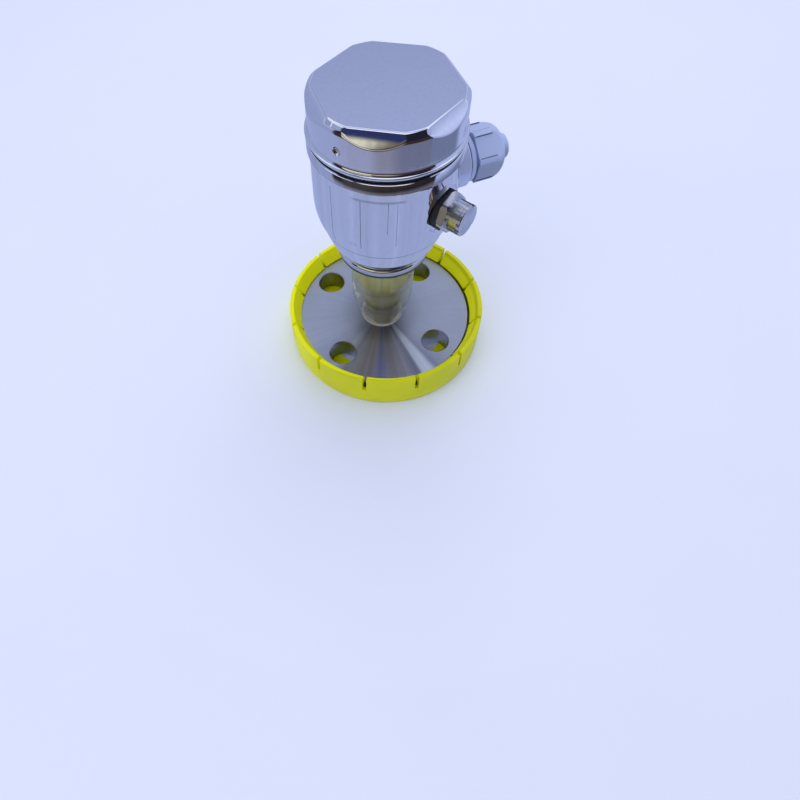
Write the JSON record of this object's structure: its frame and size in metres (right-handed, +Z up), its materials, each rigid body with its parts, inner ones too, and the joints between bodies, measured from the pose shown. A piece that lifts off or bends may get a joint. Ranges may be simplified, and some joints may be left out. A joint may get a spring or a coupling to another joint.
{
  "type": "pressure transmitter",
  "caption": "Flanged pressure transmitter: polished steel housing with screw cover, cable gland and vent, on a sleeved neck over a flange in a yellow transport cap",
  "frame": {"origin": "centre of the sealing face, the raised face under the flange", "axes": "+Z up along the turned axis from the sealing face to the cover, +X along the cable entry, +Y to its left seen from above"},
  "size_m": [0.1209, 0.118, 0.166],
  "materials": {
    "polished_steel": "mirror-polished stainless steel",
    "turned_steel": "turned stainless steel",
    "satin_steel": "satin stainless steel",
    "thin_steel": "thin corrugated stainless sheet",
    "screw_steel": "plain stainless screw",
    "black_rubber": "black sealing rubber",
    "grey_rubber": "grey sealing rubber",
    "gland_plastic": "light blue-grey polyamide",
    "vent_steel": "polished and brushed stainless steel",
    "core_plastic": "yellow-green plastic",
    "membrane": "white porous membrane",
    "clear_plastic": "thin clear shrink film",
    "yellow_plastic": "yellow polyethylene",
    "carrier_plastic": "black moulded plastic",
    "board_green": "green circuit board",
    "terminal_plastic": "green terminal plastic",
    "terminal_metal": "plated brass",
    "key_plastic": "grey moulded plastic",
    "switch_plastic": "red moulded plastic",
    "slider_plastic": "white moulded plastic",
    "lamp_plastic": "clear green lens",
    "plug_plastic": "black moulded plug with gold pins",
    "cell_ceramic": "ceramic and steel pressure cell"
  },
  "bodies": {
    "process_connection": {"flange": "turned_steel", "process_diaphragm": "thin_steel", "neck": "satin_steel", "sensor_cell": "cell_ceramic", "sensor_plug": "plug_plastic", "neck_ring": "black_rubber", "neck_clip": "screw_steel", "clear_sleeve": "clear_plastic", "flange_cap": "yellow_plastic"},
    "housing": {"swivel_collar": "satin_steel", "lock_screw": "screw_steel", "housing": "polished_steel", "gland_washer": "black_rubber", "gland_body": "gland_plastic", "vent_seal": "black_rubber", "vent_body": "vent_steel", "vent_core": "core_plastic", "vent_filter": "membrane", "vent_cap": "vent_steel", "insert_carrier": "carrier_plastic", "circuit_board": "board_green", "insert_screw": "screw_steel", "terminal_block": "terminal_plastic", "terminal_clamp": "terminal_metal", "terminal_screw": "screw_steel", "switch_block": "switch_plastic", "status_lamp": "lamp_plastic", "ground_clamp": "screw_steel", "ground_screw": "screw_steel"},
    "cover_ring": {"cover_ring": "black_rubber"},
    "cover": {"cover": "polished_steel"},
    "gland_seal": {"cable_seal": "grey_rubber"},
    "gland_nut": {"gland_nut": "gland_plastic"},
    "zero_key": {"zero_key": "key_plastic"},
    "span_key": {"span_key": "key_plastic"},
    "lock_slider": {"lock_slider": "slider_plastic"},
    "damping_slider": {"damping_slider": "slider_plastic"}
  },
  "joints": [
    {"name": "housing_turn", "type": "hinge", "parent": "process_connection", "child": "housing", "pos_m": [0, 0, 0.0739], "axis": [0, 0, 1], "range_deg": [-190, 190]},
    {"name": "cover_rise", "type": "slide", "parent": "housing", "child": "cover_ring", "axis": [0, 0, 1], "range_m": [0, 0.008]},
    {"name": "cover_turn", "type": "hinge", "parent": "cover_ring", "child": "cover", "pos_m": [0, 0, 0.1445], "axis": [0, 0, 1], "range_deg": [0, 1440]},
    {"name": "gland_back_out", "type": "slide", "parent": "housing", "child": "gland_seal", "axis": [1, 0, 0], "range_m": [0, 0.003]},
    {"name": "gland_nut_turn", "type": "hinge", "parent": "gland_seal", "child": "gland_nut", "pos_m": [0.05, 0, 0.1162], "axis": [1, 0, 0], "range_deg": [0, 720]},
    {"name": "zero_key_push", "type": "slide", "parent": "housing", "child": "zero_key", "axis": [0, 0, -1], "range_m": [0, 0.0008], "stiffness_N_per_m": 600, "springref_m": -0.0005},
    {"name": "span_key_push", "type": "slide", "parent": "housing", "child": "span_key", "axis": [0, 0, -1], "range_m": [0, 0.0008], "stiffness_N_per_m": 600, "springref_m": -0.0005},
    {"name": "lock_switch", "type": "slide", "parent": "housing", "child": "lock_slider", "axis": [1, 0, 0], "range_m": [0, 0.002]},
    {"name": "damping_switch", "type": "slide", "parent": "housing", "child": "damping_slider", "axis": [1, 0, 0], "range_m": [0, 0.002]}
  ],
  "couplings": [
    {"joint": "cover_rise", "follows": "cover_turn", "m_per_rad": 0.0003183},
    {"joint": "gland_back_out", "follows": "gland_nut_turn", "m_per_rad": 0.0002387}
  ]
}
